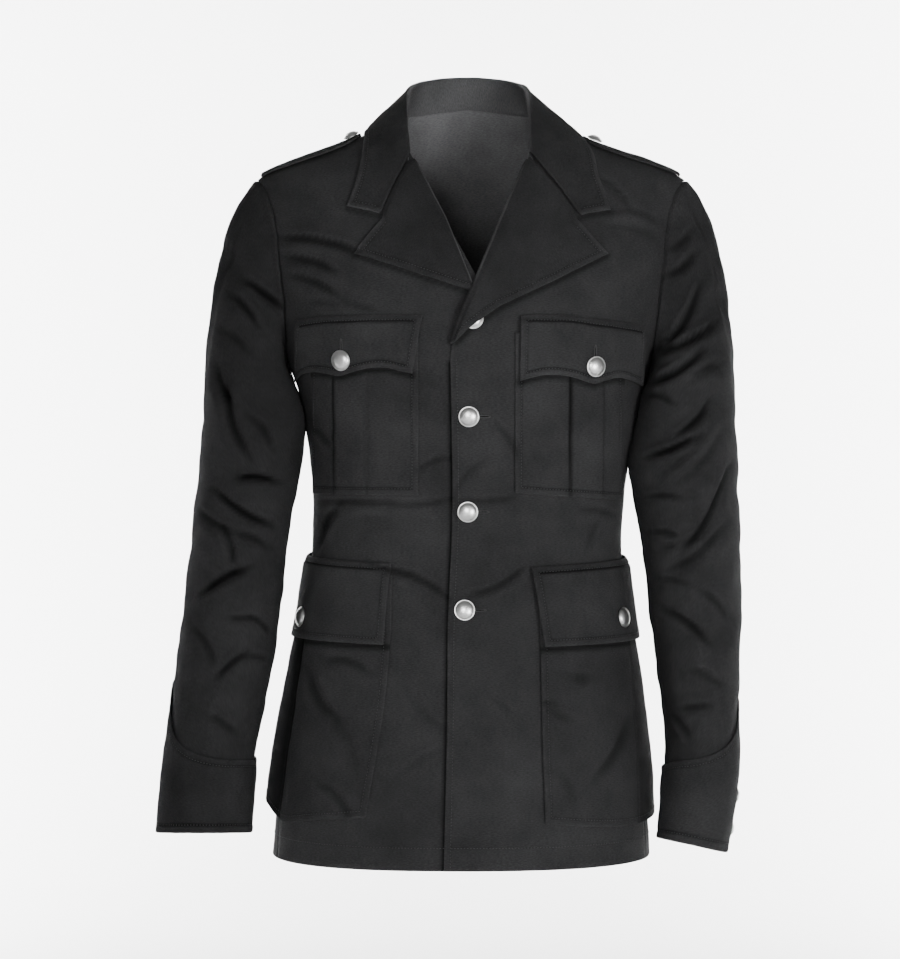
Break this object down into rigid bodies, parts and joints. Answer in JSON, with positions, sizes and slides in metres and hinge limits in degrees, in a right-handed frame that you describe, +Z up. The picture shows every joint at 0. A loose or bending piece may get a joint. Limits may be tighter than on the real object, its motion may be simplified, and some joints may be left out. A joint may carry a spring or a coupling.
{
  "type": "military uniform jacket",
  "caption": "Hollow single-breasted uniform jacket in worn shape, with notched collar, shoulder straps, flapped pleated pockets, turned-back cuffs and plain dome buttons.",
  "frame": {"origin": "mid-point between the two points where the shoulder seams meet the collar, where the wearer's shoulders hold the jacket up", "axes": "+X to the wearer's left, -Y to the front, +Z up to the collar"},
  "size_m": [0.5761, 0.248, 0.7841],
  "materials": {
    "cloth": "charcoal cotton twill with a soft dull sheen",
    "button": "satin silver domes"
  },
  "bodies": {
    "root": {"front_l": "cloth", "front_r": "cloth", "back": "cloth", "collar": "cloth", "lapel_l": "cloth", "lapel_r": "cloth", "sleeve_l": "cloth", "sleeve_r": "cloth", "cuff_l": "cloth", "cuff_r": "cloth", "epaulette_l": "cloth", "epaulette_r": "cloth", "breast_pocket_l": "cloth", "breast_pocket_r": "cloth", "breast_flap_l": "cloth", "breast_flap_r": "cloth", "lower_pocket_l": "cloth", "lower_pocket_r": "cloth", "lower_flap_l": "cloth", "lower_flap_r": "cloth", "front_button_1": "button", "front_button_2": "button", "front_button_3": "button", "front_button_4": "button", "breast_button_l": "button", "breast_button_r": "button", "lower_button_l": "button", "lower_button_r": "button", "shoulder_button_l": "button", "shoulder_button_r": "button", "cuff_button_l_1": "button", "cuff_button_l_2": "button", "cuff_button_r_1": "button", "cuff_button_r_2": "button"}
  },
  "joints": []
}
